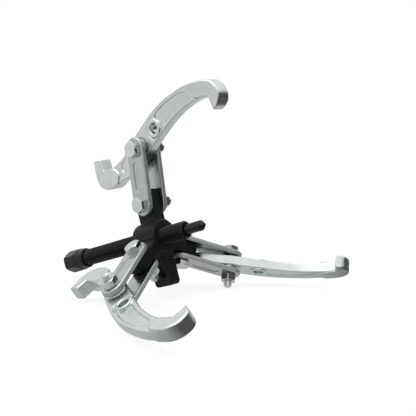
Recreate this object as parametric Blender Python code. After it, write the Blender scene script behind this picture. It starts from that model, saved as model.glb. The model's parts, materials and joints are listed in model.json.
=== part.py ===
"""Three-jaw mechanical gear puller at rest on a bench.

The puller is modelled along its spindle first: +X runs along the spindle towards its point, +Z runs along
the lug of the top arm, and the origin is where the lug bolts' plane crosses the spindle's axis. An empty
then tips the whole puller into the attitude in which it lies on the bench: two hooks and the spindle's
head touch the ground.

All sizes are in millimetres; MM turns them into metres when a mesh is made.
"""
import math

import bmesh
import bpy
from mathutils import Matrix, Vector

MM = 0.001

# Spindle (forcing screw), positions along X
THREAD_RADIUS = 8.0            # M16
HEAD_END = -127.0
HEX_END = -112.5
COLLAR_END = -100.5
THREAD_END = 34.7
HEX_ACROSS_FLATS = 19.0
COLLAR_RADIUS = 10.6
CHAMFER = 1.2
HEAD_ROUNDING = 1.0            # how far down the head its corners are cut back

# Separate point in the spindle's end
PIN_START = 35.0
PIN_RADIUS = 4.6
CONE_START = 52.5
TIP_END = 57.3

# Yoke
HUB_RADIUS = 15.5
HUB_BACK = -20.0
HUB_FRONT = 9.0
HUB_BACK_EDGE = 1.5
HUB_FRONT_EDGE = 1.0
BORE_RADIUS = 8.3
LUG_BACK = -13.5
LUG_FRONT = 8.0
LUG_HALF_THICKNESS = 5.8
LUG_EDGE = 0.9
LUG_TOP = 43.9
LUG_BACK_CORNER = 5.5
LUG_FRONT_CORNER = 3.2
LUG_HOLE_RADIUS = 4.5
LUG_BOLT_RADIUS = 31.5         # spindle axis to lug bolt
LUG_FLARE = 3.5                # fillet where a lug meets the hub
FLARE_INSET = 1.5              # the fillet stops this far short of the lug's front and back

# Arms: angle of each arm about the spindle, of its link from the lug, and of its jaw from the link
ARM_ANGLES = {"top": 0.0, "left": 120.0, "right": -120.0}
EMPTY_LUG_ANGLE = 180.0
LINK_ANGLES = {"top": 9.5, "left": 9.5, "right": 20.5}
JAW_ANGLES = {"top": 56.0, "left": 40.0, "right": 23.5}
# The pivots have play: a link twists this much about the lug's radial line, and its jaw as much again
TWISTS = {"top": 3.0, "left": 1.65, "right": 0.0}
# Which side of the arm each bolt's head is on (local Y)
YOKE_BOLT_SIDE = {"top": -1, "left": 1, "right": 1}
JAW_BOLT_SIDE = {"top": -1, "left": -1, "right": -1}

# Links
LINK_LENGTH = 49.3             # hole to hole
LINK_RADIUS = 10.5
LINK_INNER = 6.6               # inner face from the arm's middle plane
LINK_THICKNESS = 4.8
LINK_HOLE_RADIUS = 4.3
LINK_EDGE = 0.8
PANEL_LENGTH = 27.0            # sunk panel on the outer face
PANEL_RADIUS = 4.6
PANEL_DEPTH = 0.6

# M8 bolts and nuts
BOLT_RADIUS = 3.9
BOLT_ACROSS_FLATS = 13.0
BOLT_HEAD = 5.3
BOLT_END_CHAMFER = 0.8
FASTENER_ROUNDING = 0.9
BOLT_END = 23.3                # far end of the shank from the middle plane
NUT_HEIGHT = 6.5
NUT_BORE = 4.15
SEAT_GAP = 0.1                 # head or nut to link

# Jaw
JAW_HALF_THICKNESS = 4.6
JAW_EDGE = 1.3
PAD_HALF_THICKNESS = 6.4
PAD_EDGE = 0.9
RING_RADIUS = 8.4
RING_HALF_THICKNESS = 5.9
RING_EDGE = 0.4
JAW_HOLE_RADIUS = 4.5
JAW_HOLE_SPACING = 27.6
POCKET_DEPTH = 1.1
RECESS_DEPTH = 0.8

# Attitude on the bench
PITCH = 18.25                  # the spindle rises this much towards its point
ROLL = -1.0

SEGMENTS = 32
SMALL_SEGMENTS = 24            # bolts, nuts and their holes
OVERSHOOT = 3.0                # cutters reach this far past the face they cut


def clear_scene():
    for item in list(bpy.data.objects):
        bpy.data.objects.remove(item, do_unlink=True)


def make_material(name, colour, roughness, metallic):
    made = bpy.data.materials.new(name)
    made.use_nodes = True
    shader = made.node_tree.nodes["Principled BSDF"]
    shader.inputs["Base Color"].default_value = (*colour, 1.0)
    shader.inputs["Roughness"].default_value = roughness
    shader.inputs["Metallic"].default_value = metallic
    made.diffuse_color = (*colour, 1.0)
    return made


def make_pivot(name, parent, location, turn):
    """An empty at a place given in millimetres, turned by a rotation matrix."""
    empty = bpy.data.objects.new(name, None)
    bpy.context.scene.collection.objects.link(empty)
    empty.parent = parent
    empty.matrix_local = Matrix.Translation(Vector(location) * MM) @ turn
    return empty


def make_empty(name, parent, location, axis, degrees):
    """A pivot turned about one of its parent's axes."""
    return make_pivot(name, parent, location, Matrix.Rotation(math.radians(degrees), 4, axis))


def make_object(name, mesh, parent=None, material=None):
    made = bpy.data.objects.new(name, mesh)
    bpy.context.scene.collection.objects.link(made)
    made.parent = parent
    if material:
        mesh.materials.clear()
        mesh.materials.append(material)
    return made


def finish_mesh(bm, name, smooth_degrees=35.0):
    """Scale the millimetre shape to metres and hand it over as a mesh, round parts shaded smooth."""
    bmesh.ops.recalc_face_normals(bm, faces=bm.faces)
    bmesh.ops.scale(bm, vec=(MM, MM, MM), verts=bm.verts)
    mesh = bpy.data.meshes.new(name)
    bm.to_mesh(mesh)
    bm.free()
    mesh.shade_smooth()
    mesh.set_sharp_from_angle(angle=math.radians(smooth_degrees))
    return mesh


def prism(name, outline, low, high, edge=0.0):
    """Outline of (x, z) points pulled along Y from low to high, with its two rims chamfered by edge."""
    bm = bmesh.new()
    bottom = [bm.verts.new((x, low, z)) for x, z in outline]
    face = bm.faces.new(bottom)
    pulled = bmesh.ops.extrude_face_region(bm, geom=[face])
    top = [item for item in pulled["geom"] if isinstance(item, bmesh.types.BMVert)]
    bmesh.ops.translate(bm, verts=top, vec=(0.0, high - low, 0.0))
    if edge > 0.0:
        rims = [item for item in bm.edges if abs(item.verts[0].co.y - item.verts[1].co.y) < 1e-6]
        bmesh.ops.bevel(bm, geom=rims, offset=edge, segments=1, affect="EDGES", profile=0.5,
                        clamp_overlap=True)
    return finish_mesh(bm, name)


def turned(name, profile, axis="X", segments=SEGMENTS):
    """A solid of revolution: profile is (position along the axis, radius) from one end to the other."""
    bm = bmesh.new()
    rings = []
    for place, radius in profile:
        if radius <= 0.0:
            rings.append([bm.verts.new((place, 0.0, 0.0))])
            continue
        ring = []
        for step in range(segments):
            angle = 2.0 * math.pi * step / segments
            ring.append(bm.verts.new((place, radius * math.cos(angle), radius * math.sin(angle))))
        rings.append(ring)
    for first, second in zip(rings, rings[1:]):
        for step in range(segments):
            after = (step + 1) % segments
            corners = [first[step % len(first)], first[after % len(first)],
                       second[after % len(second)], second[step % len(second)]]
            unique = list(dict.fromkeys(corners))
            bm.faces.new(unique)
    for ring in (rings[0], rings[-1]):
        if len(ring) > 1:
            bm.faces.new(ring)
    if axis == "Y":
        bmesh.ops.rotate(bm, verts=bm.verts, matrix=Matrix.Rotation(math.radians(90.0), 3, "Z"))
    return finish_mesh(bm, name)


def hexagon(across_flats, start_degrees=30.0):
    radius = across_flats / math.sqrt(3.0)
    angles = [math.radians(start_degrees + 60.0 * step) for step in range(6)]
    return [(radius * math.cos(angle), radius * math.sin(angle)) for angle in angles]


def arc(centre, radius, start, end, steps):
    """Points of an arc from start to end, in degrees anticlockwise from +x."""
    points = []
    for step in range(steps + 1):
        angle = math.radians(start + (end - start) * step / steps)
        points.append((centre[0] + radius * math.cos(angle), centre[1] + radius * math.sin(angle)))
    return points


def smooth_path(points, steps):
    """A Catmull-Rom curve through the points, including both ends."""
    path = []
    padded = [points[0], *points, points[-1]]
    for before, first, second, after in zip(padded, padded[1:], padded[2:], padded[3:]):
        for step in range(steps):
            t = step / steps
            point = []
            for a, b, c, d in zip(before, first, second, after):
                point.append(0.5 * (2.0 * b + (c - a) * t + (2.0 * a - 5.0 * b + 4.0 * c - d) * t * t
                                    + (3.0 * b - a - 3.0 * c + d) * t ** 3))
            path.append(tuple(point))
    path.append(points[-1])
    return path


def combine(name, base, tools):
    """Apply Boolean steps to a base mesh; tools is a list of (operation, mesh)."""
    target = make_object(name + "_work", base)
    helpers = []
    for number, (operation, mesh) in enumerate(tools):
        helper = make_object(f"{name}_tool_{number}", mesh)
        helpers.append(helper)
        step = target.modifiers.new(f"step_{number}", "BOOLEAN")
        step.operation = operation
        step.solver = "EXACT"
        step.object = helper
    bpy.context.view_layer.update()
    evaluated = target.evaluated_get(bpy.context.evaluated_depsgraph_get())
    result = bpy.data.meshes.new_from_object(evaluated)
    for item in [target, *helpers]:
        bpy.data.objects.remove(item, do_unlink=True)
    result.name = name
    result.shade_smooth()
    result.set_sharp_from_angle(angle=math.radians(35.0))
    return result


def moved(mesh, offset=(0.0, 0.0, 0.0), axis="X", degrees=0.0):
    """A copy of a mesh, turned and then moved by an offset in millimetres."""
    copy = mesh.copy()
    copy.transform(Matrix.Translation(Vector(offset) * MM) @ Matrix.Rotation(math.radians(degrees), 4, axis))
    return copy


def spindle_mesh():
    body = turned("spindle_body", [
        (HEX_END - CHAMFER, THREAD_RADIUS), (HEX_END, COLLAR_RADIUS - CHAMFER),
        (HEX_END + CHAMFER, COLLAR_RADIUS), (COLLAR_END - CHAMFER, COLLAR_RADIUS),
        (COLLAR_END, COLLAR_RADIUS - CHAMFER), (COLLAR_END + CHAMFER, THREAD_RADIUS),
        (THREAD_END - CHAMFER, THREAD_RADIUS), (THREAD_END, THREAD_RADIUS - CHAMFER)])
    head = hex_solid("spindle_head", HEX_ACROSS_FLATS, HEX_END - HEAD_END, HEAD_ROUNDING)
    along_spindle = Matrix.Rotation(math.radians(-90.0), 4, "Z")
    head.transform(Matrix.Translation((HEAD_END * MM, 0.0, 0.0)) @ along_spindle)
    return combine("spindle", body, [("UNION", head)])


def hex_solid(name, across_flats, height, rounding):
    """A hexagon standing on Y = 0 whose top corners are cut back by a cone, as on a bolt head."""
    corner = across_flats / math.sqrt(3.0)
    block = prism(name + "_block", hexagon(across_flats), 0.0, height)
    cone = turned(name + "_cone", [
        (-1.0, corner + 1.0), (height - rounding, corner + 0.02),
        (height, across_flats / 2.0 - 0.1)], "Y")
    return combine(name, block, [("INTERSECT", cone)])


def tip_mesh():
    return turned("centre_tip", [
        (PIN_START, PIN_RADIUS), (CONE_START, PIN_RADIUS), (TIP_END, 0.0)])


def lug_outline(base):
    """Side view of a lug, (x, z): straight sides and two cut corners at the outer end."""
    return [(LUG_BACK, base), (LUG_BACK, LUG_TOP - LUG_BACK_CORNER), (LUG_BACK + LUG_BACK_CORNER, LUG_TOP),
            (LUG_FRONT - LUG_FRONT_CORNER, LUG_TOP), (LUG_FRONT, LUG_TOP - LUG_FRONT_CORNER),
            (LUG_FRONT, base)]


def flare_mesh():
    """The thicker root of a lug, seen along the spindle: it narrows to the lug's own thickness."""
    steps = 4
    top = HUB_RADIUS + LUG_FLARE + 2.0
    side = []
    for step in range(steps + 1):
        angle = math.radians(90.0 * step / steps)
        side.append((LUG_HALF_THICKNESS - 0.01 + LUG_FLARE * (1.0 - math.sin(angle)),
                     top - LUG_FLARE * math.cos(angle) - LUG_FLARE))
    left = [(-x, z) for x, z in reversed(side)]
    outline = [(side[0][0], HUB_RADIUS * 0.5), *side, *left, (-side[0][0], HUB_RADIUS * 0.5)]
    mesh = prism("flare", outline, -LUG_FRONT + FLARE_INSET, -LUG_BACK - FLARE_INSET)
    mesh.transform(Matrix.Rotation(math.radians(90.0), 4, "Z"))
    return mesh


def yoke_mesh():
    hub = turned("hub", [
        (HUB_BACK, HUB_RADIUS - HUB_BACK_EDGE), (HUB_BACK + HUB_BACK_EDGE, HUB_RADIUS),
        (HUB_FRONT - HUB_FRONT_EDGE, HUB_RADIUS), (HUB_FRONT, HUB_RADIUS - HUB_FRONT_EDGE)])
    lug = prism("lug", lug_outline(HUB_RADIUS * 0.5), -LUG_HALF_THICKNESS, LUG_HALF_THICKNESS, LUG_EDGE)
    hole = turned("lug_hole", [(-10.0, LUG_HOLE_RADIUS), (10.0, LUG_HOLE_RADIUS)], "Y", SMALL_SEGMENTS)
    hole.transform(Matrix.Translation((0.0, 0.0, LUG_BOLT_RADIUS * MM)))
    bore = turned("bore", [(HUB_BACK - 5.0, BORE_RADIUS), (HUB_FRONT + 5.0, BORE_RADIUS)])
    steps = []
    for angle in [*ARM_ANGLES.values(), EMPTY_LUG_ANGLE]:
        steps.append(("UNION", moved(lug, degrees=angle)))
        steps.append(("UNION", moved(flare_mesh(), degrees=angle)))
    for angle in [*ARM_ANGLES.values(), EMPTY_LUG_ANGLE]:
        steps.append(("DIFFERENCE", moved(hole, degrees=angle)))
    steps.append(("DIFFERENCE", bore))
    return combine("yoke", hub, steps)


def stadium(radius, low, high, steps=12):
    """Outline (x, z) of a bar with round ends whose end centres are at z = low and z = high."""
    return arc((0.0, low), radius, 180.0, 360.0, steps) + arc((0.0, high), radius, 0.0, 180.0, steps)


def link_mesh(side):
    """A link lying along +Z from its yoke hole at the origin, on the side of the arm given by its sign."""
    inner = side * LINK_INNER
    outer = side * (LINK_INNER + LINK_THICKNESS)
    bar = prism("link", stadium(LINK_RADIUS, 0.0, LINK_LENGTH),
                min(inner, outer), max(inner, outer), LINK_EDGE)
    hole = turned("link_hole", [(-20.0, LINK_HOLE_RADIUS), (20.0, LINK_HOLE_RADIUS)], "Y", SMALL_SEGMENTS)
    middle = LINK_LENGTH / 2.0
    reach = PANEL_LENGTH / 2.0 - PANEL_RADIUS
    floor = side * (LINK_INNER + LINK_THICKNESS - PANEL_DEPTH)
    beyond = outer + side * OVERSHOOT
    panel = prism("panel", stadium(PANEL_RADIUS, middle - reach, middle + reach, 8),
                  min(floor, beyond), max(floor, beyond))
    return combine("link", bar, [
        ("DIFFERENCE", moved(hole)), ("DIFFERENCE", moved(hole, (0.0, 0.0, LINK_LENGTH))),
        ("DIFFERENCE", panel)])


def bolt_mesh(side):
    """A bolt along Y with its head on the given side."""
    seat = LINK_INNER + LINK_THICKNESS + SEAT_GAP
    shank = turned("shank", [
        (-BOLT_END, BOLT_RADIUS - BOLT_END_CHAMFER), (-BOLT_END + BOLT_END_CHAMFER, BOLT_RADIUS),
        (seat + 0.5, BOLT_RADIUS)], "Y", SMALL_SEGMENTS)
    head = hex_solid("bolt_head", BOLT_ACROSS_FLATS, BOLT_HEAD, FASTENER_ROUNDING)
    mesh = combine("bolt", shank, [("UNION", moved(head, (0.0, seat, 0.0)))])
    if side < 0:
        mesh.transform(Matrix.Rotation(math.pi, 4, "Z"))
    return mesh


def nut_mesh(side):
    """The nut of a bolt whose head is on the given side."""
    seat = LINK_INNER + LINK_THICKNESS + SEAT_GAP
    body = hex_solid("nut", BOLT_ACROSS_FLATS, NUT_HEIGHT, FASTENER_ROUNDING)
    hole = turned("nut_hole", [(-2.0, NUT_BORE), (NUT_HEIGHT + 2.0, NUT_BORE)], "Y", SMALL_SEGMENTS)
    mesh = combine("nut", body, [("DIFFERENCE", hole)])
    mesh.transform(Matrix.Translation((0.0, seat * MM, 0.0)))
    if side > 0:
        mesh.transform(Matrix.Rotation(math.pi, 4, "Z"))
    return mesh


def as_xz(points):
    """Jaw outlines are written (u, v): u along the jaw, v towards the hooks' side. The jaw stands on +Z."""
    return [(v, u) for u, v in points]


BACK_CURVE = [(0.0, -12.0), (20.0, -12.5), (36.0, -12.2), (52.0, -9.8), (66.5, -5.6), (79.5, -0.6),
              (90.0, 5.2), (99.0, 11.5)]
HOOK_NOSE = [(99.0, 11.5), (104.4, 16.6), (107.0, 22.5), (107.2, 28.4), (105.2, 33.6), (101.4, 36.9),
             (97.2, 38.0)]
HOOK_FLAT = [(92.6, 37.8), (95.4, 26.2)]
INNER_CURVE = [(95.4, 26.2), (90.5, 22.8), (84.0, 18.8), (76.5, 15.6), (64.0, 12.0), (50.0, 9.9),
               (38.0, 9.3), (20.0, 9.6), (-12.0, 9.9), (-24.0, 9.6), (-32.0, 7.8), (-39.0, 5.4), (-46.0, 3.9)]
SMALL_BACK = [(-46.0, 3.9), (-54.4, 2.3), (-62.6, -2.4), (-67.8, -8.8), (-69.2, -15.4), (-66.2, -24.0),
              (-60.0, -34.6)]
SMALL_FLAT = [(-50.7, -29.1), (-54.4, -18.7)]
TAIL_CURVE = [(-54.4, -18.7), (-47.0, -15.0), (-40.0, -12.1), (-31.0, -10.6), (-20.0, -10.1), (0.0, -12.0)]


def jaw_outline():
    path = smooth_path(BACK_CURVE, 3)[:-1] + smooth_path(HOOK_NOSE, 3)
    path += HOOK_FLAT[:1] + smooth_path(INNER_CURVE, 2)[:-1]
    path += smooth_path(SMALL_BACK, 3) + SMALL_FLAT[:1] + smooth_path(TAIL_CURVE, 3)[:-1]
    return as_xz(path)


def large_pad_outline():
    """The thicker end of the large hook, with a round shoulder towards the holes."""
    shoulder = smooth_path([(90.5, 22.3), (84.2, 17.6), (82.2, 12.8), (84.6, 8.4), (91.5, 6.6)], 2)
    back = smooth_path([(91.5, 6.6), (99.0, 11.7)], 1)[:-1] + smooth_path(HOOK_NOSE, 3)
    return as_xz(back + [HOOK_FLAT[0], HOOK_FLAT[1]] + shoulder[:-1])


def small_pad_outline():
    """The thicker end of the small hook."""
    shoulder = smooth_path([(-54.4, -18.7), (-45.4, -14.2), (-40.3, -8.6), (-39.4, -1.6), (-46.0, 3.7)], 3)
    return as_xz(smooth_path(SMALL_BACK, 3) + [SMALL_FLAT[0]] + shoulder[:-1])


def pocket_outline():
    """The sunk panel between the second hole and the large hook."""
    outer = smooth_path([(39.5, -8.6), (51.3, -6.4), (62.8, -3.2), (72.5, 0.4)], 2)
    end = smooth_path([(72.5, 0.4), (78.2, 5.2), (77.6, 9.8), (72.0, 10.0)], 2)
    inner = smooth_path([(72.0, 10.0), (60.0, 7.2), (48.0, 5.8), (40.5, 5.4)], 2)
    return as_xz(outer[:-1] + end[:-1] + inner)


def recess_outline():
    """The small three-cornered recess between the first hole and the small hook."""
    return as_xz([(-20.5, -7.2), (-29.5, -6.6), (-33.3, -3.4), (-33.0, 0.6), (-29.0, 1.4), (-24.0, -2.8)])


def jaw_mesh():
    """A reversible jaw standing on +Z, its first hole at the origin."""
    mesh = prism("jaw", jaw_outline(), -JAW_HALF_THICKNESS, JAW_HALF_THICKNESS, JAW_EDGE)
    ring = turned("ring", [
        (-RING_HALF_THICKNESS, RING_RADIUS - RING_EDGE), (-RING_HALF_THICKNESS + RING_EDGE, RING_RADIUS),
        (RING_HALF_THICKNESS - RING_EDGE, RING_RADIUS), (RING_HALF_THICKNESS, RING_RADIUS - RING_EDGE)], "Y")
    hole = turned("jaw_hole", [(-20.0, JAW_HOLE_RADIUS), (20.0, JAW_HOLE_RADIUS)], "Y", SMALL_SEGMENTS)
    second = (0.0, 0.0, JAW_HOLE_SPACING)
    steps = [("UNION", prism("pad", large_pad_outline(), -PAD_HALF_THICKNESS, PAD_HALF_THICKNESS, PAD_EDGE)),
             ("UNION", prism("pad", small_pad_outline(), -PAD_HALF_THICKNESS, PAD_HALF_THICKNESS, PAD_EDGE))]
    for side in (-1, 1):
        beyond = side * (JAW_HALF_THICKNESS + OVERSHOOT)
        for outline, depth in ((pocket_outline(), POCKET_DEPTH), (recess_outline(), RECESS_DEPTH)):
            floor = side * (JAW_HALF_THICKNESS - depth)
            steps.append(("DIFFERENCE", prism("sunk", outline, min(floor, beyond), max(floor, beyond))))
    steps += [("UNION", moved(ring)), ("UNION", moved(ring, second)),
              ("DIFFERENCE", moved(hole)), ("DIFFERENCE", moved(hole, second))]
    return combine("jaw", mesh, steps)


def build_arm(name, puller, zinc):
    """One arm: two links and two bolts on the lug's pivot, and the jaw on the links' far pivot."""
    arm = make_empty(f"{name}_arm", puller, (0.0, 0.0, 0.0), "X", ARM_ANGLES[name])
    twist = Matrix.Rotation(math.radians(-TWISTS[name]), 4, "Z")
    link_turn = Matrix.Rotation(math.radians(LINK_ANGLES[name]), 4, "Y")
    jaw_turn = Matrix.Rotation(math.radians(LINK_ANGLES[name] + JAW_ANGLES[name]), 4, "Y")
    link_pivot = make_pivot(f"{name}_link_pivot", arm, (0.0, 0.0, LUG_BOLT_RADIUS), twist @ link_turn)
    jaw_pivot = make_pivot(f"{name}_jaw_pivot", link_pivot, (0.0, 0.0, LINK_LENGTH),
                           link_turn.inverted() @ twist @ jaw_turn)
    for label, side in (("near", -1), ("far", 1)):
        make_object(f"{name}_link_{label}", link_mesh(side), link_pivot, zinc())
    pivots = (("yoke", 0.0, YOKE_BOLT_SIDE[name]), ("jaw", LINK_LENGTH, JAW_BOLT_SIDE[name]))
    for label, height, side in pivots:
        for kind, mesh in (("bolt", bolt_mesh(side)), ("nut", nut_mesh(side))):
            fastener = make_object(f"{name}_{label}_{kind}", mesh, link_pivot, zinc())
            fastener.location = (0.0, 0.0, height * MM)
    make_object(f"{name}_jaw", jaw_mesh(), jaw_pivot, zinc())


def seat_on_ground(puller):
    """Tip the puller into its resting attitude and put the origin under the middle of its box."""
    puller.rotation_euler = (math.radians(ROLL), math.radians(-PITCH), 0.0)
    bpy.context.view_layer.update()
    low = Vector((1.0, 1.0, 1.0))
    high = -low
    for item in bpy.data.objects:
        if item.type != "MESH":
            continue
        for vertex in item.data.vertices:
            place = item.matrix_world @ vertex.co
            low = Vector(map(min, low, place))
            high = Vector(map(max, high, place))
    puller.location = (-(low.x + high.x) / 2.0, -(low.y + high.y) / 2.0, -low.z)
    bpy.context.view_layer.update()


def build():
    clear_scene()

    def zinc():
        return make_material("zinc_plate", (0.62, 0.64, 0.63), 0.32, 1.0)

    def black():
        return make_material("black_finish", (0.02, 0.02, 0.022), 0.45, 0.4)

    puller = make_empty("puller", None, (0.0, 0.0, 0.0), "X", 0.0)
    feed = make_empty("spindle_feed", puller, (0.0, 0.0, 0.0), "X", 0.0)
    make_object("yoke", yoke_mesh(), puller, black())
    make_object("spindle", spindle_mesh(), feed, black())
    make_object("centre_tip", tip_mesh(), feed, black())
    for name in ARM_ANGLES:
        build_arm(name, puller, zinc)
    seat_on_ground(puller)


build()
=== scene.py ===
import json
import math

import bmesh
import bpy
from mathutils import Matrix, Vector


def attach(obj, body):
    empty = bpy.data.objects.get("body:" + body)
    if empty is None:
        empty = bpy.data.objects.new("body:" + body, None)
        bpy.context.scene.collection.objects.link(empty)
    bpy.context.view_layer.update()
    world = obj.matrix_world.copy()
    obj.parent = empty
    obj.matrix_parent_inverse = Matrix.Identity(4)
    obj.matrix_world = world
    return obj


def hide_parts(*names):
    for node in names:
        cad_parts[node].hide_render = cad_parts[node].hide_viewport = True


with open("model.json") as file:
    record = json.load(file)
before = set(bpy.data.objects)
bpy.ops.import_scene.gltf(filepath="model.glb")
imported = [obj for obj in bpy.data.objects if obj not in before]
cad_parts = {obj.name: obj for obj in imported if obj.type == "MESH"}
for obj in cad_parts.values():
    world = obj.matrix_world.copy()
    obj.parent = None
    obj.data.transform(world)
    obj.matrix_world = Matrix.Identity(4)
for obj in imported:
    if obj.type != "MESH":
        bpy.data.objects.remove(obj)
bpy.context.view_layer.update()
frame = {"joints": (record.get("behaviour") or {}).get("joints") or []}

MM = 0.001

# Attitude of the puller and angles of its arms in degrees, as in the CAD. The sides say on which side of an
# arm the head of a bolt is.
PITCH = 18.25
ROLL = -1.0
ARM_ANGLES = {"top": 0.0, "left": 120.0, "right": -120.0}
EMPTY_LUG_ANGLE = 180.0
LINK_ANGLES = {"top": 9.5, "left": 9.5, "right": 20.5}
JAW_ANGLES = {"top": 56.0, "left": 40.0, "right": 23.5}
TWISTS = {"top": 3.0, "left": 1.65, "right": 0.0}
YOKE_BOLT_SIDE = {"top": -1, "left": 1, "right": 1}
JAW_BOLT_SIDE = {"top": -1, "left": -1, "right": -1}

# Spindle
THREAD_RADIUS = 7.95
THREAD_DEPTH = 1.15
THREAD_PITCH = 2.0
HEAD_END = -127.0
HEX_END = -112.5
COLLAR_END = -100.5
THREAD_END = 34.7
HEX_ACROSS_FLATS = 19.0
COLLAR_RADIUS = 10.6
NECK_RADIUS = 7.9

# Point
PIN_START = 35.0
PIN_RADIUS = 4.6
CONE_START = 52.5
TIP_END = 57.3

# Yoke
HUB_RADIUS = 15.5
HUB_BACK = -20.0
HUB_FRONT = 9.0
BORE_RADIUS = 8.3
LUG_BACK = -13.5
LUG_FRONT = 8.0
LUG_HALF_THICKNESS = 5.8
LUG_TOP = 43.9
LUG_BACK_CORNER = 5.5
LUG_FRONT_CORNER = 3.2
LUG_HOLE_RADIUS = 4.5
LUG_BOLT_RADIUS = 31.5
LUG_FLARE = 3.5
BARE_LUG_CORNER = 3.6          # the lug without an arm has rounder corners
LUG_EDGE = 1.1
LUG_ROOT = HUB_RADIUS * 0.5    # lugs start inside the hub
FLARE_INSET = 1.5
HUB_BACK_EDGE = 1.8
HUB_FRONT_EDGE = 1.3
BORE_CHAMFER = 0.9
LUG_HOLE_CHAMFER = 0.5
YOKE_VOXEL = 0.5
YOKE_MELT_PASSES = 5

# Links
LINK_LENGTH = 49.3
LINK_RADIUS = 10.5
LINK_INNER = 6.6
LINK_THICKNESS = 4.8
LINK_HOLE_RADIUS = 4.3
LINK_EDGE = 1.4
SHEARED_LEAN = 0.6             # faces that lean more than this from the plate's flat are punched edges
PANEL_LENGTH = 27.0
PANEL_RADIUS = 4.6
PANEL_DEPTH = 0.75
PANEL_EDGE = 0.35

# Bolts and nuts
BOLT_RADIUS = 3.9
BOLT_THREAD_DEPTH = 0.65
BOLT_PITCH = 1.25
BOLT_THREAD_START = 2.0
BOLT_ACROSS_FLATS = 13.0
BOLT_HEAD = 5.3
BOLT_END = 23.3
NUT_HEIGHT = 6.5
NUT_BORE = 4.1
SEAT_GAP = 0.1
FASTENER_SEAT = LINK_INNER + LINK_THICKNESS + SEAT_GAP

# Hexagons and threads
HEX_CORNER_RADIUS = 0.5
HEX_CHAMFER_INSET = 0.15       # how far inside the flats the corner's cone ends
HEX_CHAMFER_ANGLE = 30.0
THREAD_CREST = 0.14            # shares of half a pitch; what is left over is the root
THREAD_FLANK = 0.62

# Jaw
JAW_HALF_THICKNESS = 4.6
JAW_EDGE = 2.3
PAD_HALF_THICKNESS = 6.4
PAD_EDGE = 1.5
RING_RADIUS = 8.4
RING_HALF_THICKNESS = 5.9
RING_EDGE = 1.0
JAW_HOLE_RADIUS = 4.5
JAW_HOLE_CHAMFER = 1.4
RING_MOAT_RADIUS = 9.3
RING_MOAT_WIDTH = 0.75
JAW_HOLE_SPACING = 27.6
POCKET_DEPTH = 1.3
RECESS_DEPTH = 1.0
JAW_VOXEL = 0.42
JAW_MELT_PASSES = 4

# Mesh making
ROUND_SEGMENTS = 64
FINE_SEGMENTS = 96
SPINDLE_SEGMENTS = 72
BOLT_SEGMENTS = 48
CURVE_STEPS = 6
OVERSHOOT = 4.0                # how far a cutter reaches past the face it cuts
LINK_CUTTER_REACH = 20.0       # half length of the pin that cuts a link's holes


# ---------------------------------------------------------------- meshes

def finish_mesh(bm, name):
    bmesh.ops.recalc_face_normals(bm, faces=bm.faces)
    bmesh.ops.scale(bm, vec=(MM, MM, MM), verts=bm.verts)
    mesh = bpy.data.meshes.new(name)
    bm.to_mesh(mesh)
    bm.free()
    return mesh


def prism(name, outline, low, high, edge=0.0, segments=3):
    """Outline of (x, z) points pulled along Y from low to high, with its two rims rounded by edge."""
    bm = bmesh.new()
    bottom = [bm.verts.new((x, low, z)) for x, z in outline]
    face = bm.faces.new(bottom)
    pulled = bmesh.ops.extrude_face_region(bm, geom=[face])
    top = [item for item in pulled["geom"] if isinstance(item, bmesh.types.BMVert)]
    bmesh.ops.translate(bm, verts=top, vec=(0.0, high - low, 0.0))
    if edge > 0.0:
        rims = [item for item in bm.edges if abs(item.verts[0].co.y - item.verts[1].co.y) < 1e-6]
        bmesh.ops.bevel(bm, geom=rims, offset=edge, segments=segments, affect="EDGES", profile=0.5,
                        clamp_overlap=True)
    return finish_mesh(bm, name)


def close_rings(bm, rings):
    """Skin a row of rings and close both ends."""
    for first, second in zip(rings, rings[1:]):
        for step in range(len(first)):
            after = (step + 1) % len(first)
            bm.faces.new((first[step], first[after], second[after], second[step]))
    bm.faces.new(rings[0])
    bm.faces.new(rings[-1])


def rod(name, places, radius_at, segments, along_y=False):
    """A closed rod along X: radius_at(place, share) gives its radius at a place and share of a turn."""
    bm = bmesh.new()
    rings = []
    for place in places:
        ring = []
        for step in range(segments):
            share = step / segments
            angle = 2.0 * math.pi * share
            radius = radius_at(place, share)
            ring.append(bm.verts.new((place, radius * math.cos(angle), radius * math.sin(angle))))
        rings.append(ring)
    close_rings(bm, rings)
    if along_y:
        bmesh.ops.rotate(bm, verts=bm.verts, matrix=Matrix.Rotation(math.radians(90.0), 3, "Z"))
    return finish_mesh(bm, name)


def profile_radius(profile, place):
    """Radius of a stepped profile of (place, radius) points, straight between them."""
    for (start, first), (end, second) in zip(profile, profile[1:]):
        if place <= end:
            share = (place - start) / (end - start) if end > start else 1.0
            return first + (second - first) * max(0.0, min(1.0, share))
    return profile[-1][1]


def turned(name, profile, segments=ROUND_SEGMENTS, along_y=False):
    """A solid of revolution through a profile of (place, radius) points."""
    bm = bmesh.new()
    rings = []
    for place, radius in profile:
        ring = []
        for step in range(segments):
            angle = 2.0 * math.pi * step / segments
            ring.append(bm.verts.new((place, radius * math.cos(angle), radius * math.sin(angle))))
        rings.append(ring)
    close_rings(bm, rings)
    if along_y:
        bmesh.ops.rotate(bm, verts=bm.verts, matrix=Matrix.Rotation(math.radians(90.0), 3, "Z"))
    return finish_mesh(bm, name)


def thread_cut(place, share, pitch, depth):
    """How deep a right-hand thread is cut at a place along the rod and share of a turn."""
    phase = (place / pitch - share) % 1.0
    ramp = (abs(2.0 * phase - 1.0) - THREAD_CREST) / THREAD_FLANK
    return depth * max(0.0, min(1.0, ramp))


def stations(start, end, step):
    """Places from start to end, both included, about a step apart."""
    count = max(1, round((end - start) / step))
    return [start + (end - start) * number / count for number in range(count + 1)]


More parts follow.
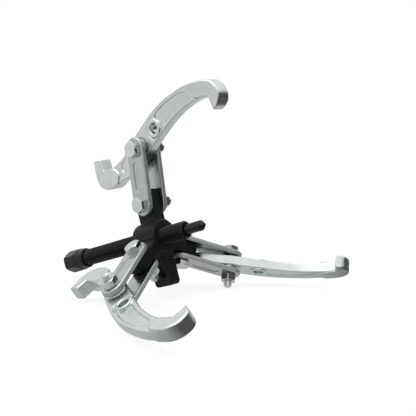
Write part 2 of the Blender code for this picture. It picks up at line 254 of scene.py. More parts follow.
def run_mesh(target, helpers):
    """The mesh that a work object's modifiers make; the object and its helpers are then removed."""
    bpy.context.view_layer.update()
    evaluated = target.evaluated_get(bpy.context.evaluated_depsgraph_get())
    result = bpy.data.meshes.new_from_object(evaluated)
    for item in [target, *helpers]:
        bpy.data.objects.remove(item, do_unlink=True)
    return result


def loose(name, mesh):
    """A new object in the scene."""
    made = bpy.data.objects.new(name, mesh)
    bpy.context.scene.collection.objects.link(made)
    return made


def combine(name, base, tools):
    """Boolean steps on a base mesh; tools is a list of (operation, mesh)."""
    target = loose(name + "_work", base)
    helpers = []
    for number, (operation, mesh) in enumerate(tools):
        helper = loose(f"{name}_tool_{number}", mesh)
        helpers.append(helper)
        step = target.modifiers.new(f"step_{number}", "BOOLEAN")
        step.operation = operation
        step.solver = "EXACT"
        step.object = helper
    return run_mesh(target, helpers)


def forged(name, mesh, voxel, passes):
    """Melt a solid's edges and corners into each other, as a forging's are."""
    target = loose(name + "_forged", mesh)
    remesh = target.modifiers.new("skin", "REMESH")
    remesh.mode = "VOXEL"
    remesh.voxel_size = voxel * MM
    remesh.adaptivity = 0.0
    smooth = target.modifiers.new("melt", "SMOOTH")
    smooth.factor = 0.5
    smooth.iterations = passes
    return run_mesh(target, [])


def turn(degrees, axis):
    return Matrix.Rotation(math.radians(degrees), 4, axis)


def shift(x, y, z):
    """A move given in millimetres."""
    return Matrix.Translation((x * MM, y * MM, z * MM))


def moved(mesh, offset=(0.0, 0.0, 0.0), degrees=0.0):
    """A copy of a mesh, turned about X and then moved."""
    copy = mesh.copy()
    copy.transform(Matrix.Translation(Vector(offset) * MM) @ turn(degrees, "X"))
    return copy


# ---------------------------------------------------------------- outlines

def arc(centre, radius, start, end, steps):
    """Points on a circle from one angle in degrees to another."""
    points = []
    for step in range(steps + 1):
        angle = math.radians(start + (end - start) * step / steps)
        points.append((centre[0] + radius * math.cos(angle), centre[1] + radius * math.sin(angle)))
    return points


def smooth_path(points, steps):
    """A Catmull-Rom curve through the points, including both ends."""
    path = []
    padded = [points[0], *points, points[-1]]
    for before, first, second, after in zip(padded, padded[1:], padded[2:], padded[3:]):
        for step in range(steps):
            t = step / steps
            point = []
            for a, b, c, d in zip(before, first, second, after):
                point.append(0.5 * (2.0 * b + (c - a) * t + (2.0 * a - 5.0 * b + 4.0 * c - d) * t * t
                                    + (3.0 * b - a - 3.0 * c + d) * t ** 3))
            path.append(tuple(point))
    path.append(points[-1])
    return path


def stadium(radius, low, high, steps=32):
    """Two half circles round (0, low) and (0, high), joined by straight sides."""
    return arc((0.0, low), radius, 180.0, 360.0, steps) + arc((0.0, high), radius, 0.0, 180.0, steps)


def round_hexagon(across_flats, steps=3):
    """A hexagon whose corners are rounded by a small radius."""
    corner = HEX_CORNER_RADIUS
    reach = across_flats / math.sqrt(3.0) - corner / math.cos(math.radians(30.0))
    points = []
    for side in range(6):
        middle = 30.0 + 60.0 * side
        centre = (reach * math.cos(math.radians(middle)), reach * math.sin(math.radians(middle)))
        points += arc(centre, corner, middle - 30.0, middle + 30.0, steps)
    return points


def as_xz(points):
    return [(v, u) for u, v in points]


# The jaw's outlines are (u, v) points: u runs along the jaw from its first hole, v towards the hooks' side.
BACK_CURVE = [(0.0, -12.0), (20.0, -12.5), (36.0, -12.2), (52.0, -9.8), (66.5, -5.6), (79.5, -0.6),
              (90.0, 5.2), (99.0, 11.5)]
HOOK_NOSE = [(99.0, 11.5), (104.4, 16.6), (107.0, 22.5), (107.2, 28.4), (105.2, 33.6), (101.4, 36.9),
             (97.2, 38.0)]
HOOK_FLAT = [(92.6, 37.8), (95.4, 26.2)]
INNER_CURVE = [(95.4, 26.2), (90.5, 22.8), (84.0, 18.8), (76.5, 15.6), (64.0, 12.0), (50.0, 9.9),
               (38.0, 9.3), (20.0, 9.6), (-12.0, 9.9), (-24.0, 9.6), (-32.0, 7.8), (-39.0, 5.4), (-46.0, 3.9)]
SMALL_BACK = [(-46.0, 3.9), (-54.4, 2.3), (-62.6, -2.4), (-67.8, -8.8), (-69.2, -15.4), (-66.2, -24.0),
              (-60.0, -34.6)]
SMALL_FLAT = [(-50.7, -29.1), (-54.4, -18.7)]
TAIL_CURVE = [(-54.4, -18.7), (-47.0, -15.0), (-40.0, -12.1), (-31.0, -10.6), (-20.0, -10.1), (0.0, -12.0)]


def jaw_outline():
    path = smooth_path(BACK_CURVE, CURVE_STEPS)[:-1] + smooth_path(HOOK_NOSE, CURVE_STEPS)
    path += HOOK_FLAT[:1] + smooth_path(INNER_CURVE, CURVE_STEPS)[:-1]
    path += smooth_path(SMALL_BACK, CURVE_STEPS) + SMALL_FLAT[:1] + smooth_path(TAIL_CURVE, CURVE_STEPS)[:-1]
    return as_xz(path)


def large_pad_outline():
    shoulder = smooth_path([(90.5, 22.3), (84.2, 17.6), (82.2, 12.8), (84.6, 8.4), (91.5, 6.6)], CURVE_STEPS)
    back = smooth_path([(91.5, 6.6), (99.0, 11.7)], 1)[:-1] + smooth_path(HOOK_NOSE, CURVE_STEPS)
    return as_xz(back + [HOOK_FLAT[0], HOOK_FLAT[1]] + shoulder[:-1])


def small_pad_outline():
    shoulder = smooth_path([(-54.4, -18.7), (-45.4, -14.2), (-40.3, -8.6), (-39.4, -1.6), (-46.0, 3.7)],
                           CURVE_STEPS)
    return as_xz(smooth_path(SMALL_BACK, CURVE_STEPS) + [SMALL_FLAT[0]] + shoulder[:-1])


def pocket_outline():
    outer = smooth_path([(32.6, -4.6), (38.0, -7.9), (51.3, -6.4), (62.8, -3.2), (72.5, 0.4)], CURVE_STEPS)
    end = smooth_path([(72.5, 0.4), (78.2, 5.2), (77.6, 9.8), (72.0, 10.0)], CURVE_STEPS)
    inner = smooth_path([(72.0, 10.0), (60.0, 7.2), (48.0, 5.8), (39.5, 5.2), (32.6, 4.4)], CURVE_STEPS)
    return as_xz(outer[:-1] + end[:-1] + inner)


def recess_outline():
    return as_xz([(-20.5, -7.2), (-29.5, -6.6), (-33.3, -3.4), (-33.0, 0.6), (-29.0, 1.4), (-24.0, -2.8)])


# ---------------------------------------------------------------- pieces

def hex_head(name, across_flats, height, both_ends=False):
    """A hexagon standing on Y = 0 with its corners cut back by a cone at the top, or at both ends."""
    corner = across_flats / math.sqrt(3.0)
    flat = across_flats / 2.0 - HEX_CHAMFER_INSET
    drop = (corner - flat) * math.tan(math.radians(HEX_CHAMFER_ANGLE))
    clear = corner + 0.02
    skin = 0.001
    block = prism(name + "_block", round_hexagon(across_flats), 0.0, height)
    low = [(-1.0, corner + 1.0), (0.0, corner + 1.0)]
    if both_ends:
        low = [(-skin, flat), (drop, clear)]
    cone = turned(name + "_cone", low + [(height - drop, clear), (height + skin, flat)],
                  FINE_SEGMENTS, along_y=True)
    return combine(name, block, [("INTERSECT", cone)])


def spindle_mesh():
    root = THREAD_RADIUS - THREAD_DEPTH
    thread_start = COLLAR_END + 2.2
    neck = [(HEX_END - 0.8, NECK_RADIUS), (HEX_END + 0.1, NECK_RADIUS), (HEX_END + 0.3, COLLAR_RADIUS - 1.3),
            (HEX_END + 0.9, COLLAR_RADIUS - 0.4), (HEX_END + 1.6, COLLAR_RADIUS),
            (HEX_END + 4.0, COLLAR_RADIUS), (HEX_END + 4.5, COLLAR_RADIUS - 0.7),
            (COLLAR_END - 2.0, COLLAR_RADIUS - 0.7), (COLLAR_END - 0.8, COLLAR_RADIUS - 1.0),
            (COLLAR_END, COLLAR_RADIUS - 1.9), (COLLAR_END + 0.2, root), (thread_start, root)]
    places = [place for place, _ in neck[:-1]] + stations(thread_start, THREAD_END, THREAD_PITCH / 12.0)

    def radius_at(place, share):
        if place < thread_start:
            return profile_radius(neck, place)
        cut = THREAD_RADIUS - thread_cut(place, share, THREAD_PITCH, THREAD_DEPTH)
        lead_in = root - 0.3 + (place - thread_start) * 1.2
        lead_out = root - 0.2 + (THREAD_END - place) * 1.1
        return max(root - 0.3, min(cut, lead_in, lead_out))

    body = rod("spindle_rod", places, radius_at, SPINDLE_SEGMENTS)
    head = hex_head("spindle_hex", HEX_ACROSS_FLATS, HEX_END - HEAD_END, both_ends=True)
    head.transform(shift(HEAD_END, 0.0, 0.0) @ turn(-90.0, "Z"))
    return combine("spindle", body, [("UNION", head)])


def tip_mesh():
    return turned("tip", [
        (PIN_START, PIN_RADIUS - 0.7), (PIN_START + 0.7, PIN_RADIUS), (CONE_START - 2.4, PIN_RADIUS),
        (CONE_START - 2.2, PIN_RADIUS - 0.18), (CONE_START - 1.8, PIN_RADIUS - 0.18),
        (CONE_START - 1.6, PIN_RADIUS), (CONE_START - 0.35, PIN_RADIUS), (CONE_START, PIN_RADIUS - 0.2),
        (TIP_END - 0.35, 0.45), (TIP_END - 0.1, 0.22), (TIP_END, 0.05)])


def lug_outline(base):
    """Side view of a lug that carries an arm, (x, z): its corners are cut to clear the jaw's tail."""
    return [(LUG_BACK, base), (LUG_BACK, LUG_TOP - LUG_BACK_CORNER), (LUG_BACK + LUG_BACK_CORNER, LUG_TOP),
            (LUG_FRONT - LUG_FRONT_CORNER, LUG_TOP), (LUG_FRONT, LUG_TOP - LUG_FRONT_CORNER),
            (LUG_FRONT, base)]


def bare_lug_outline(base):
    """The same view of the lug without an arm, whose corners are rounded."""
    corner = BARE_LUG_CORNER
    back = arc((LUG_BACK + corner, LUG_TOP - corner), corner, 180.0, 90.0, 8)
    front = arc((LUG_FRONT - corner, LUG_TOP - corner), corner, 90.0, 0.0, 8)
    return [(LUG_BACK, base), *back, *front, (LUG_FRONT, base)]


def flare_mesh():
    """The flared foot that runs from a lug's flat sides into the hub."""
    top = HUB_RADIUS + LUG_FLARE + 2.0
    side = []
    for step in range(9):
        angle = math.radians(90.0 * step / 8)
        side.append((LUG_HALF_THICKNESS - 0.01 + LUG_FLARE * (1.0 - math.sin(angle)),
                     top - LUG_FLARE * math.cos(angle) - LUG_FLARE))
    left = [(-x, z) for x, z in reversed(side)]
    outline = [(side[0][0], LUG_ROOT), *side, *left, (-side[0][0], LUG_ROOT)]
    mesh = prism("flare", outline, -LUG_FRONT + FLARE_INSET, -LUG_BACK - FLARE_INSET)
    mesh.transform(turn(90.0, "Z"))
    return mesh


def hole_cutter(radius, half_length, chamfer):
    """A pin along Y that also cuts a countersink where it leaves a wall of the given half thickness."""
    end = half_length + OVERSHOOT
    wide = radius + chamfer + OVERSHOOT
    return turned("cutter", [(-end, wide), (-half_length + chamfer, radius),
                             (half_length - chamfer, radius), (end, wide)], along_y=True)


def yoke_mesh():
    hub = turned("hub", [
        (HUB_BACK, HUB_RADIUS - HUB_BACK_EDGE), (HUB_BACK + HUB_BACK_EDGE, HUB_RADIUS),
        (HUB_FRONT - HUB_FRONT_EDGE, HUB_RADIUS), (HUB_FRONT, HUB_RADIUS - HUB_FRONT_EDGE)], FINE_SEGMENTS)
    angles = [*ARM_ANGLES.values(), EMPTY_LUG_ANGLE]
    steps = []
    for angle in angles:
        outline = bare_lug_outline if angle == EMPTY_LUG_ANGLE else lug_outline
        lug = prism("lug", outline(LUG_ROOT), -LUG_HALF_THICKNESS, LUG_HALF_THICKNESS, LUG_EDGE)
        steps += [("UNION", moved(lug, degrees=angle)), ("UNION", moved(flare_mesh(), degrees=angle))]
    body = forged("yoke", combine("yoke", hub, steps), YOKE_VOXEL, YOKE_MELT_PASSES)
    wide = BORE_RADIUS + OVERSHOOT + 1.0
    bore = turned("bore", [
        (HUB_BACK - OVERSHOOT, wide), (HUB_BACK + BORE_CHAMFER, BORE_RADIUS),
        (HUB_FRONT - BORE_CHAMFER, BORE_RADIUS), (HUB_FRONT + OVERSHOOT, wide)], FINE_SEGMENTS)
    holes = []
    for angle in angles:
        hole = hole_cutter(LUG_HOLE_RADIUS, LUG_HALF_THICKNESS, LUG_HOLE_CHAMFER)
        hole.transform(shift(0.0, 0.0, LUG_BOLT_RADIUS))
        holes.append(("DIFFERENCE", moved(hole, degrees=angle)))
    return combine("yoke", body, [("DIFFERENCE", bore), *holes])


def link_mesh(side):
    """A link on one side of the lug, with its sunk panel outwards and its punched faces marked."""
    inner = side * LINK_INNER
    outer = side * (LINK_INNER + LINK_THICKNESS)
    bar = prism("link", stadium(LINK_RADIUS, 0.0, LINK_LENGTH),
                min(inner, outer), max(inner, outer), LINK_EDGE, 4)
    past = LINK_CUTTER_REACH
    hole = turned("link_hole", [(-past, LINK_HOLE_RADIUS), (past, LINK_HOLE_RADIUS)], along_y=True)
    middle = LINK_LENGTH / 2.0
    reach = PANEL_LENGTH / 2.0 - PANEL_RADIUS
    floor = side * (LINK_INNER + LINK_THICKNESS - PANEL_DEPTH)
    beyond = outer + side * OVERSHOOT
    panel = prism("panel", stadium(PANEL_RADIUS, middle - reach, middle + reach),
                  min(floor, beyond), max(floor, beyond), PANEL_EDGE)
    mesh = combine("link", bar, [
        ("DIFFERENCE", moved(hole)), ("DIFFERENCE", moved(hole, (0.0, 0.0, LINK_LENGTH))),
        ("DIFFERENCE", panel)])
    mark = mesh.attributes.new("sheared", "FLOAT", "FACE")
    for polygon in mesh.polygons:
        mark.data[polygon.index].value = 1.0 if abs(polygon.normal.y) < SHEARED_LEAN else 0.0
    return mesh


def bolt_mesh(side):
    """A bolt along Y with its head on the given side."""
    thread_end = -BOLT_THREAD_START
    places = [*stations(-BOLT_END, thread_end, BOLT_PITCH / 10.0), thread_end + 0.6,
              FASTENER_SEAT + 0.5]

    def radius_at(place, share):
        if place > thread_end + 0.01:
            return BOLT_RADIUS
        root = BOLT_RADIUS - BOLT_THREAD_DEPTH
        cut = BOLT_RADIUS - thread_cut(place, share, BOLT_PITCH, BOLT_THREAD_DEPTH)
        lead_in = root - 0.25 + (place + BOLT_END) * 1.1
        lead_out = BOLT_RADIUS - (place - thread_end + 1.2) * 0.3 if place > thread_end - 1.2 else BOLT_RADIUS
        return min(cut, lead_in, max(lead_out, root))

    shank = rod("shank", places, radius_at, BOLT_SEGMENTS, along_y=True)
    head = moved(hex_head("bolt_head", BOLT_ACROSS_FLATS, BOLT_HEAD), (0.0, FASTENER_SEAT, 0.0))
    mesh = combine("bolt", shank, [("UNION", head)])
    if side < 0:
        mesh.transform(turn(180.0, "Z"))
    return mesh


def nut_mesh(side):
    """The nut of a bolt whose head is on the given side, so it sits on the other one."""
    body = hex_head("nut", BOLT_ACROSS_FLATS, NUT_HEIGHT, both_ends=True)
    hole = turned("nut_hole", [
        (-1.0, NUT_BORE + 1.5), (0.5, NUT_BORE), (NUT_HEIGHT - 0.5, NUT_BORE),
        (NUT_HEIGHT + 1.0, NUT_BORE + 1.5)], along_y=True)
    mesh = combine("nut", body, [("DIFFERENCE", hole)])
    mesh.transform(shift(0.0, FASTENER_SEAT, 0.0))
    if side > 0:
        mesh.transform(turn(180.0, "Z"))
    return mesh


def torus(name, radius, width, level, segments=ROUND_SEGMENTS, around=10):
    """A closed torus about Y, used to cut a soft groove round a boss."""
    bm = bmesh.new()
    rings = []
    for step in range(segments):
        angle = 2.0 * math.pi * step / segments
        ring = []
        for part in range(around):
            lean = 2.0 * math.pi * part / around
            reach = radius + width * math.cos(lean)
            ring.append(bm.verts.new((reach * math.cos(angle), level + width * math.sin(lean),
                                      reach * math.sin(angle))))
        rings.append(ring)
    for first, second in zip(rings, rings[1:] + rings[:1]):
        for part in range(around):
            after = (part + 1) % around
            bm.faces.new((first[part], first[after], second[after], second[part]))
    return finish_mesh(bm, name)


def jaw_mesh():
    mesh = prism("jaw", jaw_outline(), -JAW_HALF_THICKNESS, JAW_HALF_THICKNESS, JAW_EDGE, 4)
    second = (0.0, 0.0, JAW_HOLE_SPACING)
    steps = []
    for side in (-1, 1):
        beyond = side * (JAW_HALF_THICKNESS + OVERSHOOT)
        for outline, depth in ((pocket_outline(), POCKET_DEPTH), (recess_outline(), RECESS_DEPTH)):
            floor = side * (JAW_HALF_THICKNESS - depth)
            steps.append(("DIFFERENCE", prism("sunk", outline, min(floor, beyond), max(floor, beyond))))
    ring = turned("ring", [
        (-RING_HALF_THICKNESS, RING_RADIUS - RING_EDGE),
        (-RING_HALF_THICKNESS + 0.3 * RING_EDGE, RING_RADIUS - 0.3 * RING_EDGE),
        (-RING_HALF_THICKNESS + RING_EDGE, RING_RADIUS), (RING_HALF_THICKNESS - RING_EDGE, RING_RADIUS),
        (RING_HALF_THICKNESS - 0.3 * RING_EDGE, RING_RADIUS - 0.3 * RING_EDGE),
        (RING_HALF_THICKNESS, RING_RADIUS - RING_EDGE)], along_y=True)
    for outline in (large_pad_outline(), small_pad_outline()):
        steps.append(("UNION", prism("pad", outline, -PAD_HALF_THICKNESS, PAD_HALF_THICKNESS, PAD_EDGE)))
    for side in (-1, 1):
        moat = torus("moat", RING_MOAT_RADIUS, RING_MOAT_WIDTH, side * JAW_HALF_THICKNESS)
        steps += [("DIFFERENCE", moat), ("DIFFERENCE", moved(moat, second))]
    body = forged("jaw", combine("jaw", mesh, steps), JAW_VOXEL, JAW_MELT_PASSES)
    hole = hole_cutter(JAW_HOLE_RADIUS, RING_HALF_THICKNESS, JAW_HOLE_CHAMFER)
    return combine("jaw", body, [
        ("UNION", moved(ring)), ("UNION", moved(ring, second)),
        ("DIFFERENCE", hole), ("DIFFERENCE", moved(hole, second))])


# ---------------------------------------------------------------- materials

class Nodes:
    """Short ways to add nodes to one material."""

    def __init__(self, name):
        self.material = bpy.data.materials.new(name)
        self.material.use_nodes = True
        self.tree = self.material.node_tree
        self.shader = self.tree.nodes["Principled BSDF"]
        self.place = self.add("ShaderNodeTexCoord").outputs["Object"]

    def add(self, kind, **values):
        node = self.tree.nodes.new(kind)
        for key, value in values.items():
            setattr(node, key, value)
        return node

    def link(self, source, target):
        self.tree.links.new(source, target)

    def noise(self, scale, detail, roughness=0.5):
        node = self.add("ShaderNodeTexNoise")
        node.inputs["Scale"].default_value = scale
        node.inputs["Detail"].default_value = detail
        node.inputs["Roughness"].default_value = roughness
        self.link(self.place, node.inputs["Vector"])
        return node.outputs["Fac"]

    def ramp(self, source, stops):
        """Stops are (position, colour or grey level)."""
        node = self.add("ShaderNodeValToRGB")
        points = node.color_ramp.elements
        while len(points) < len(stops):
            points.new(0.5)
        for point, (position, colour) in zip(points, stops):
            point.position = position
            point.color = (*colour, 1.0) if isinstance(colour, tuple) else (colour, colour, colour, 1.0)
        self.link(source, node.inputs["Fac"])
        return node.outputs["Color"]

    def blend(self, share, first, second):
        node = self.add("ShaderNodeMix", data_type="RGBA")
        self.link(share, node.inputs["Factor"])
        self.link(first, node.inputs["A"])
        self.link(second, node.inputs["B"])
        return node.outputs["Result"]

    def bumps(self, layers):
        """Layers are (height source, depth in metres, strength)."""
        normal = None
        for height, depth, strength in layers:
            node = self.add("ShaderNodeBump")
            node.inputs["Distance"].default_value = depth
            node.inputs["Strength"].default_value = strength
            self.link(height, node.inputs["Height"])
            if normal:
                self.link(normal, node.inputs["Normal"])
            normal = node.outputs["Normal"]
        self.link(normal, self.shader.inputs["Normal"])


EDGE_REACH = 0.0005            # metres from an edge that wear brightens it


def metal(name, tone, rough, grain, waves, wear, metallic=1.0, gloss=0.5, sheared=0.0):
    """Plated or coated steel: blotchy tone, fine grain, slow forging waves and brighter edges.

    tone and rough are (low, high) pairs, grain and waves are depths in metres, wear is the edges' colour.
    The faces of a pressed plate that are marked as sheared get the roughness given as sheared.
    """
    n = Nodes(name)
    blotches = n.ramp(n.noise(140.0, 6.0, 0.6), [(0.3, tone[0]), (0.7, tone[1])])
    rounded = n.add("ShaderNodeBevel", samples=6)
    rounded.inputs["Radius"].default_value = EDGE_REACH
    match = n.add("ShaderNodeVectorMath", operation="DOT_PRODUCT")
    n.link(rounded.outputs["Normal"], match.inputs[0])
    n.link(n.add("ShaderNodeNewGeometry").outputs["Normal"], match.inputs[1])
    edge = n.ramp(match.outputs["Value"], [(0.90, 0.7), (0.995, 0.0)])
    bright = n.add("ShaderNodeRGB")
    bright.outputs[0].default_value = (*wear, 1.0)
    n.link(n.blend(edge, blotches, bright.outputs[0]), n.shader.inputs["Base Color"])
    roughness = n.ramp(n.noise(260.0, 5.0, 0.6), [(0.3, rough[0]), (0.7, rough[1])])
    if sheared > 0.0:
        marked = n.add("ShaderNodeAttribute", attribute_name="sheared")
        matt = n.add("ShaderNodeRGB")
        matt.outputs[0].default_value = (sheared, sheared, sheared, 1.0)
        roughness = n.blend(marked.outputs["Fac"], roughness, matt.outputs[0])
    n.link(roughness, n.shader.inputs["Roughness"])
    n.shader.inputs["Metallic"].default_value = metallic
    n.shader.inputs["Specular IOR Level"].default_value = gloss
    n.bumps([(n.noise(140.0, 2.0), waves, 0.5), (n.noise(1500.0, 2.0), grain, 0.35)])
    return n.material


ZINC_WEAR = (0.80, 0.82, 0.81)

MATERIALS = {
    "zinc_jaw": metal("zinc_jaw", tone=((0.62, 0.66, 0.645), (0.71, 0.75, 0.735)), rough=(0.22, 0.31),
                      grain=0.000006, waves=0.00009, wear=ZINC_WEAR),
    "zinc_link": metal("zinc_link", tone=((0.45, 0.48, 0.467), (0.54, 0.572, 0.558)), rough=(0.20, 0.30),
                       grain=0.000008, waves=0.00004, wear=ZINC_WEAR, sheared=0.62),
    "zinc_fastener": metal("zinc_fastener", tone=((0.60, 0.63, 0.62), (0.70, 0.73, 0.72)),
                           rough=(0.08, 0.16), grain=0.000005, waves=0.00002, wear=(0.84, 0.86, 0.85)),
    "black_yoke": metal("black_yoke", tone=((0.004, 0.0042, 0.0045), (0.008, 0.0084, 0.009)),
                        rough=(0.40, 0.58), grain=0.00008, waves=0.0002, wear=(0.018, 0.018, 0.019),
                        metallic=0.0, gloss=0.22),
    "black_spindle": metal("black_spindle", tone=((0.003, 0.003, 0.0034), (0.006, 0.006, 0.0068)),
                           rough=(0.20, 0.30), grain=0.00002, waves=0.00002, wear=(0.05, 0.05, 0.053),
                           metallic=0.0, gloss=0.34),
}


# ---------------------------------------------------------------- assembly

# Angles in degrees up to which each kind of piece is shaded smooth
YOKE_SMOOTH = 50.0
SPINDLE_SMOOTH = 25.0
TIP_SMOOTH = 20.0
LINK_SMOOTH = 38.0
FASTENER_SMOOTH = 28.0
JAW_SMOOTH = 55.0


def add_piece(node, mesh, matrix, body, slot, smooth_degrees):
    """A finished piece that stands for one CAD node and rides on its body.

    Like the CAD nodes, its object stays at the origin and its place is in its mesh. Edges sharper than
    smooth_degrees are shaded sharp.
    """
    mesh.transform(matrix)
    mesh.materials.clear()
    mesh.materials.append(MATERIALS[slot])
    mesh.shade_smooth()
    mesh.set_sharp_from_angle(angle=math.radians(smooth_degrees))
    piece = loose(node + "_piece", mesh)
    weighted = piece.modifiers.new("flat_faces", "WEIGHTED_NORMAL")
    weighted.keep_sharp = True
    weighted.weight = 80
    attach(piece, body)
    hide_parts(node)


def build_arm(name, puller, shared):
    """One arm: two links and their fasteners on the yoke's lug, and the jaw at the links' far end."""
    arm = puller @ turn(ARM_ANGLES[name], "X")
    twist = turn(-TWISTS[name], "Z")
    link_turn = turn(LINK_ANGLES[name], "Y")
    jaw_turn = turn(LINK_ANGLES[name] + JAW_ANGLES[name], "Y")
    link_pivot = arm @ shift(0.0, 0.0, LUG_BOLT_RADIUS) @ twist @ link_turn
    far_hole = shift(0.0, 0.0, LINK_LENGTH)
    jaw_pivot = link_pivot @ far_hole @ link_turn.inverted() @ twist @ jaw_turn
    for label, side in (("near", -1), ("far", 1)):
        add_piece(f"{name}_link_{label}", shared["link"][side].copy(), link_pivot, f"{name}_links",
                  "zinc_link", LINK_SMOOTH)
    pivots = (("yoke", link_pivot, YOKE_BOLT_SIDE[name]), ("jaw", link_pivot @ far_hole, JAW_BOLT_SIDE[name]))
    for label, matrix, side in pivots:
        for kind in ("bolt", "nut"):
            add_piece(f"{name}_{label}_{kind}", shared[kind][side].copy(), matrix, f"{name}_links",
                      "zinc_fastener", FASTENER_SMOOTH)
    add_piece(f"{name}_jaw", shared["jaw"].copy(), jaw_pivot, f"{name}_jaw", "zinc_jaw", JAW_SMOOTH)


def build_puller():
    """Every piece, placed from the spindle joint's own position in the frame."""
    joint = next(item for item in frame["joints"] if item["name"] == "spindle_turn")
    puller = Matrix.Translation(joint["pos_m"]) @ turn(-PITCH, "Y") @ turn(ROLL, "X")
    add_piece("yoke", yoke_mesh(), puller, "yoke", "black_yoke", YOKE_SMOOTH)
    add_piece("spindle", spindle_mesh(), puller, "spindle", "black_spindle", SPINDLE_SMOOTH)
    add_piece("centre_tip", tip_mesh(), puller, "tip", "black_spindle", TIP_SMOOTH)
    shared = {"jaw": jaw_mesh(),
              "link": {side: link_mesh(side) for side in (-1, 1)},
              "bolt": {side: bolt_mesh(side) for side in (-1, 1)},
              "nut": {side: nut_mesh(side) for side in (-1, 1)}}
    for name in ARM_ANGLES:
        build_arm(name, puller, shared)


# ---------------------------------------------------------------- studio

FLOOR_TONE = 0.28
FLOOR_GLOW = 0.78
FLOOR_MIRRORED_NEAR = 0.60
FLOOR_MIRRORED_FAR = 0.86
FLOOR_SHADED = 0.14            # mirrored level that is left on the right-hand part of the floor
FLOOR_HALF_SIZE = 4.0
FLOOR_HEIGHT = -0.0004         # just under the object, so that the two never share a plane
WALL_LEVEL = 0.07
WALL_CENTRE = (0.834, 0.337, 0.32)
WALL_FACING = (-0.927, -0.375, 0.0)
WALL_WIDTH = 1.6
WALL_HEIGHT = 0.64
SOFTBOX_PLACE = (-0.25, -0.25, 1.0)
SOFTBOX_TARGET = (0.0, 0.0, 0.06)
SOFTBOX_SIZE = 1.0
SOFTBOX_WATTS = 4.0
SKY_LEVELS = [(0.0, 0.4), (0.45, 0.55), (0.58, 0.72), (0.8, 0.95), (1.0, 1.1)]    # (height, level)
CAMERA_PLACE = (0.43078, -0.47072, 0.18011)
CAMERA_ANGLES = (80.066, 0.689, 39.587)
CAMERA_LENS = 62.83
CAMERA_SENSOR = 36.0
CAMERA_SHIFT = (0.0245, 0.0296)


def sheet(name, corners, material):
    mesh = bpy.data.meshes.new(name)
    mesh.from_pydata(corners, [], [tuple(range(len(corners)))])
    mesh.materials.append(material)
    made = loose(name, mesh)
    return made


def floor_material():
    """A pale floor with faint shadows, which fades into the white surroundings away from the object."""
    n = Nodes("floor")
    n.shader.inputs["Base Color"].default_value = (FLOOR_TONE, FLOOR_TONE, FLOOR_TONE, 1.0)
    n.shader.inputs["Roughness"].default_value = 0.9
    n.shader.inputs["Emission Color"].default_value = (1.0, 1.0, 1.0, 1.0)
    n.shader.inputs["Emission Strength"].default_value = FLOOR_GLOW
    distance = n.add("ShaderNodeVectorMath", operation="LENGTH")
    n.link(n.place, distance.inputs[0])
    fade = n.ramp(distance.outputs["Value"], [(0.10, 0.0), (0.30, 1.0)])
    white = n.add("ShaderNodeEmission")
    seen = n.add("ShaderNodeMixShader")
    n.link(fade, seen.inputs["Fac"])
    n.link(n.shader.outputs["BSDF"], seen.inputs[1])
    n.link(white.outputs["Emission"], seen.inputs[2])
    split = n.add("ShaderNodeSeparateXYZ")
    n.link(n.place, split.inputs[0])
    product = n.add("ShaderNodeMix", data_type="RGBA", blend_type="MULTIPLY")
    product.inputs["Factor"].default_value = 1.0
    n.link(n.ramp(distance.outputs["Value"], [(0.15, FLOOR_MIRRORED_NEAR), (0.8, FLOOR_MIRRORED_FAR)]),
           product.inputs["A"])
    n.link(n.ramp(split.outputs["X"], [(0.07, 1.0), (0.15, FLOOR_SHADED)]), product.inputs["B"])
    mirrored = n.add("ShaderNodeEmission")
    n.link(product.outputs["Result"], mirrored.inputs["Color"])
    pick = n.add("ShaderNodeMixShader")
    n.link(n.add("ShaderNodeLightPath").outputs["Is Camera Ray"], pick.inputs["Fac"])
    n.link(mirrored.outputs["Emission"], pick.inputs[1])
    n.link(seen.outputs["Shader"], pick.inputs[2])
    n.link(pick.outputs["Shader"], n.tree.nodes["Material Output"].inputs["Surface"])
    return n.material


def card_material(name, level):
    n = Nodes(name)
    glow = n.add("ShaderNodeEmission")
    glow.inputs["Color"].default_value = (level, level, level, 1.0)
    n.link(glow.outputs["Emission"], n.tree.nodes["Material Output"].inputs["Surface"])
    return n.material


def add_card(name, centre, direction, width, height, level):
    """A card that only shows in reflections."""
    facing = Vector(direction).normalized()
    across = facing.cross(Vector((0.0, 0.0, 1.0))).normalized() * width / 2.0
    upward = across.normalized().cross(facing) * height / 2.0
    middle = Vector(centre)
    corners = [middle - across - upward, middle + across - upward, middle + across + upward,
               middle - across + upward]
    card = sheet(name, corners, card_material(name, level))
    card.visible_camera = False
    card.visible_shadow = False
    card.visible_diffuse = False
    return card


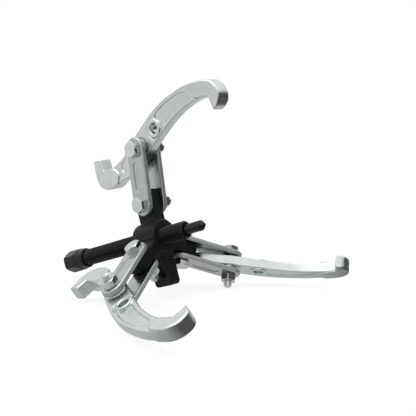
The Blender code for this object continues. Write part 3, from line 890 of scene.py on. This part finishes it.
def build_world():
    """Surroundings that the camera sees as white and that reflections see darker towards the ground."""
    world = bpy.data.worlds.new("studio")
    bpy.context.scene.world = world
    world.use_nodes = True
    nodes, links = world.node_tree.nodes, world.node_tree.links
    background = nodes["Background"]
    place = nodes.new("ShaderNodeTexCoord")
    split = nodes.new("ShaderNodeSeparateXYZ")
    links.new(place.outputs["Generated"], split.inputs[0])
    ramp = nodes.new("ShaderNodeValToRGB")
    while len(ramp.color_ramp.elements) < len(SKY_LEVELS):
        ramp.color_ramp.elements.new(0.5)
    for point, (position, level) in zip(ramp.color_ramp.elements, SKY_LEVELS):
        point.position = position
        point.color = (level, level, level, 1.0)
    height = nodes.new("ShaderNodeMapRange")
    height.inputs["From Min"].default_value = -1.0
    links.new(split.outputs["Z"], height.inputs["Value"])
    links.new(height.outputs["Result"], ramp.inputs["Fac"])
    path = nodes.new("ShaderNodeLightPath")
    mix = nodes.new("ShaderNodeMix")
    mix.data_type = "RGBA"
    mix.inputs["B"].default_value = (1.0, 1.0, 1.0, 1.0)
    links.new(path.outputs["Is Camera Ray"], mix.inputs["Factor"])
    links.new(ramp.outputs["Color"], mix.inputs["A"])
    links.new(mix.outputs["Result"], background.inputs["Color"])


def add_area(name, place, target, size, power):
    light = bpy.data.lights.new(name, "AREA")
    light.shape = "SQUARE"
    light.size = size
    light.energy = power
    lamp = bpy.data.objects.new(name, light)
    bpy.context.scene.collection.objects.link(lamp)
    lamp.location = place
    lamp.rotation_euler = (Vector(target) - Vector(place)).to_track_quat("-Z", "Y").to_euler()


def build_studio():
    half = FLOOR_HALF_SIZE
    corners = [(-half, -half), (half, -half), (half, half), (-half, half)]
    sheet("floor", [(x, y, FLOOR_HEIGHT) for x, y in corners], floor_material())
    build_world()
    add_area("top_softbox", SOFTBOX_PLACE, SOFTBOX_TARGET, SOFTBOX_SIZE, SOFTBOX_WATTS)
    add_card("right_wall", WALL_CENTRE, WALL_FACING, WALL_WIDTH, WALL_HEIGHT, WALL_LEVEL)
    bpy.context.scene.view_settings.view_transform = "Standard"


def add_camera():
    camera = bpy.data.cameras.new("camera")
    camera.lens = CAMERA_LENS
    camera.sensor_width = CAMERA_SENSOR
    camera.shift_x, camera.shift_y = CAMERA_SHIFT
    view = bpy.data.objects.new("camera", camera)
    bpy.context.scene.collection.objects.link(view)
    view.location = CAMERA_PLACE
    view.rotation_euler = [math.radians(angle) for angle in CAMERA_ANGLES]
    bpy.context.scene.camera = view


build_puller()
build_studio()
add_camera()
